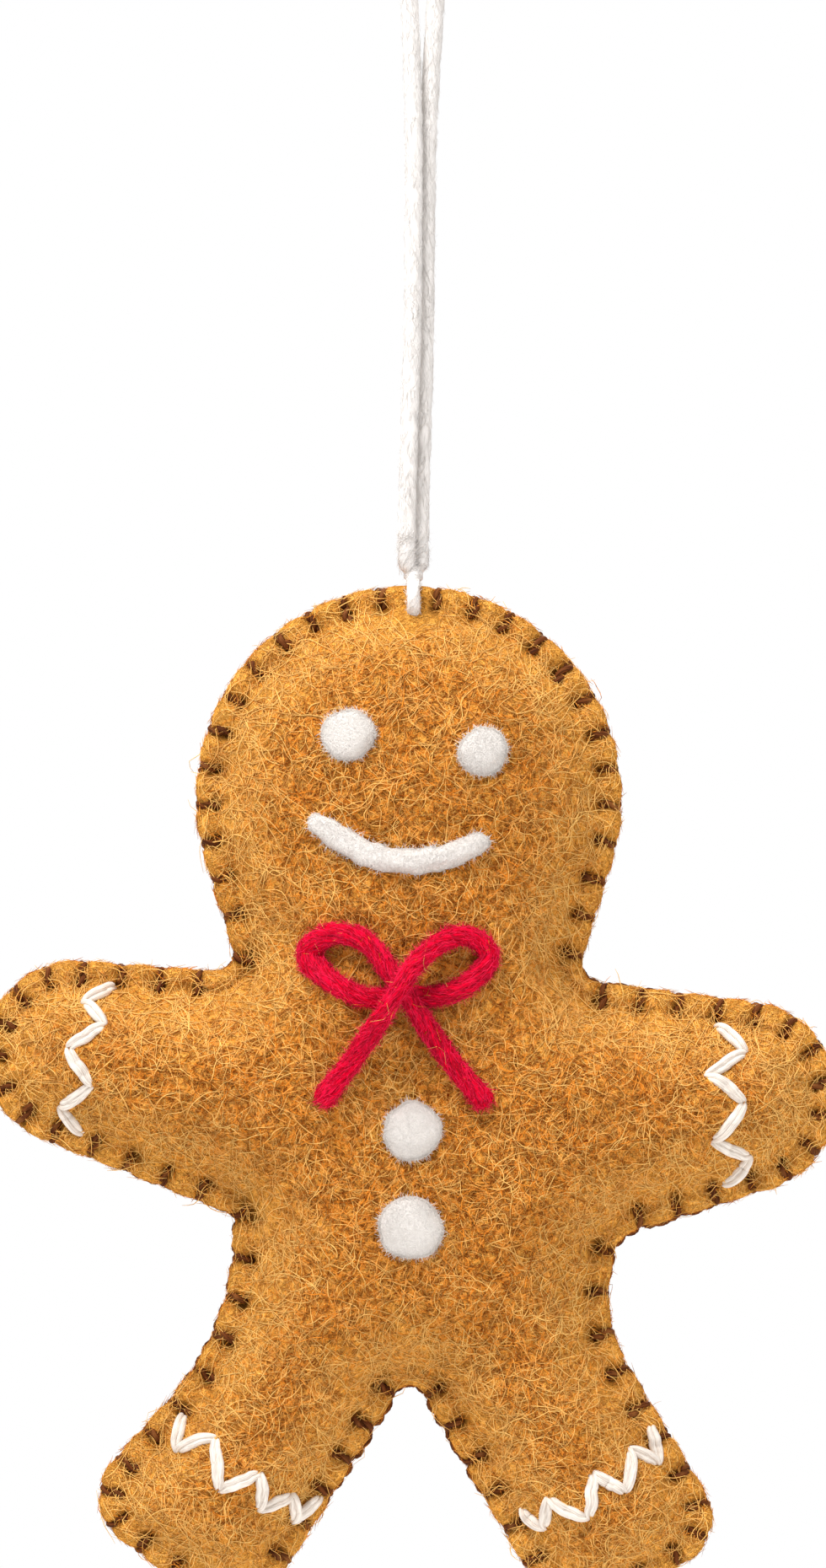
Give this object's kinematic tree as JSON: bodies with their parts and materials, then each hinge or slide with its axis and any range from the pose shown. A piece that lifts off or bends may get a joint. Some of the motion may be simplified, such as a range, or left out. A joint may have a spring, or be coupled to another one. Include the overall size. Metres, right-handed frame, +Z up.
{
  "type": "felt gingerbread ornament",
  "caption": "Stuffed wool-felt gingerbread figure with a stitched edge, felted face and buttons, yarn bow and zigzag trim, hung on a cotton cord loop.",
  "frame": {"origin": "top of the hanging loop, on the cord's inside, where a hook carries the ornament", "axes": "+Z up, the front faces -Y, +X to the right as seen from the front"},
  "size_m": [0.0983, 0.0278, 0.2132],
  "materials": {
    "felt": "needled wool felt, caramel brown with lighter golden fibres",
    "filling": "loose off-white fibre filling",
    "white_wool": "needle-felted white wool",
    "red_yarn": "two-ply red wool yarn, slightly fuzzy",
    "white_thread": "stranded off-white embroidery thread with a soft sheen",
    "brown_thread": "dark brown sewing thread",
    "cotton_cord": "soft twisted off-white cotton cord"
  },
  "bodies": {
    "hanging_loop": {"hanging_cord": "cotton_cord"},
    "knot": {"cord_knot": "cotton_cord"},
    "anchor": {"anchor_stitch": "cotton_cord"},
    "figure": {"front_panel": "felt", "back_panel": "felt", "edge_thread": "brown_thread", "stuffing_head": "filling", "stuffing_torso": "filling", "stuffing_arm_left": "filling", "stuffing_arm_right": "filling", "stuffing_leg_left": "filling", "stuffing_leg_right": "filling", "eye_left": "white_wool", "eye_right": "white_wool", "mouth": "white_wool", "button_upper": "white_wool", "button_lower": "white_wool", "bow": "red_yarn", "arm_zigzag_left": "white_thread", "arm_zigzag_right": "white_thread", "leg_zigzag_left": "white_thread", "leg_zigzag_right": "white_thread"}
  },
  "joints": [
    {"name": "cord_twist", "type": "hinge", "parent": "hanging_loop", "child": "knot", "pos_m": [-0.0013, 0, -0.0917], "axis": [0, 0, 1], "range_deg": [-180, 180]},
    {"name": "swing_fore_aft", "type": "hinge", "parent": "knot", "child": "anchor", "pos_m": [-0.0013, 0, -0.0917], "axis": [1, 0, 0], "range_deg": [-60, 60]},
    {"name": "swing_sideways", "type": "hinge", "parent": "anchor", "child": "figure", "pos_m": [-0.0013, 0, -0.0977], "axis": [0, 1, 0], "range_deg": [-12, 12]}
  ]
}
